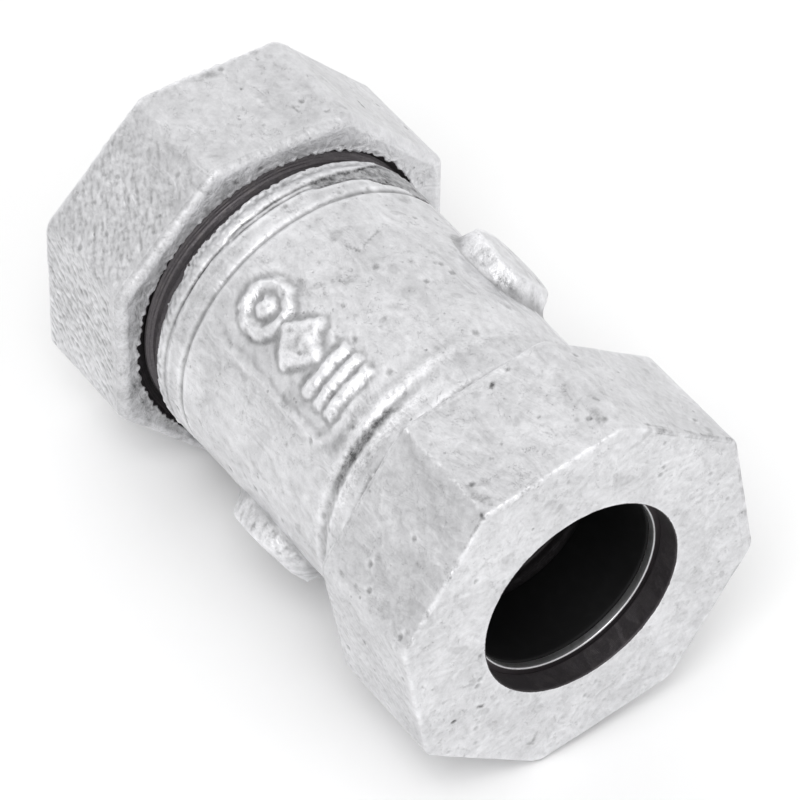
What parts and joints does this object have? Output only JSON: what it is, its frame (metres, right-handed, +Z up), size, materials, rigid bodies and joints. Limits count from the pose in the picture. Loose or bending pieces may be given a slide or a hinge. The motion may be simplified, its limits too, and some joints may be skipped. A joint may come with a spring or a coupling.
{
  "type": "pipe compression coupling",
  "caption": "Straight compression coupling for plain-end pipe: threaded cast body, octagonal nut at each end, retainer washers and tapered rubber gaskets.",
  "frame": {"origin": "on the bore axis, midway between the outer faces of the two nuts", "axes": "+X along the bore towards the right-hand nut, +Z up with the left-hand nut resting on a flat"},
  "size_m": [0.0692, 0.0434, 0.0434],
  "materials": {
    "zinc_body": "hot-dip galvanised malleable iron, matt mottled pale grey, bare dark iron on the cut threads",
    "zinc_nut": "hot-dip galvanised malleable iron, matt mottled pale grey, bare dark iron in the bore and threads",
    "washer_steel": "pressed bright steel",
    "gasket_rubber": "black moulded rubber, matt",
    "coil_brass": "fine wound wire"
  },
  "bodies": {
    "body": {"coupling_body": "zinc_body"},
    "seal_pack_left": {"retainer_left": "washer_steel", "gasket_left": "gasket_rubber", "armour_coil_left": "coil_brass"},
    "seal_pack_right": {"retainer_right": "washer_steel", "gasket_right": "gasket_rubber", "armour_coil_right": "coil_brass"},
    "nut_left": {"nut_left": "zinc_nut"},
    "nut_right": {"nut_right": "zinc_nut"}
  },
  "joints": [
    {"name": "right_pack_slide", "type": "slide", "parent": "body", "child": "seal_pack_right", "axis": [1, 0, 0], "range_m": [-0.00181, 0.00726]},
    {"name": "right_nut_spin", "type": "hinge", "parent": "seal_pack_right", "child": "nut_right", "pos_m": [0.0272, 0, 0], "axis": [1, 0, 0], "range_deg": [-360, 1440]},
    {"name": "left_pack_slide", "type": "slide", "parent": "body", "child": "seal_pack_left", "axis": [-1, 0, 0], "range_m": [-0.00181, 0.00726]},
    {"name": "left_nut_spin", "type": "hinge", "parent": "seal_pack_left", "child": "nut_left", "pos_m": [-0.0272, 0, 0], "axis": [-1, 0, 0], "range_deg": [-360, 1440]}
  ],
  "couplings": [
    {"joint": "right_pack_slide", "follows": "right_nut_spin", "m_per_rad": 0.00028871},
    {"joint": "left_pack_slide", "follows": "left_nut_spin", "m_per_rad": 0.00028871}
  ]
}
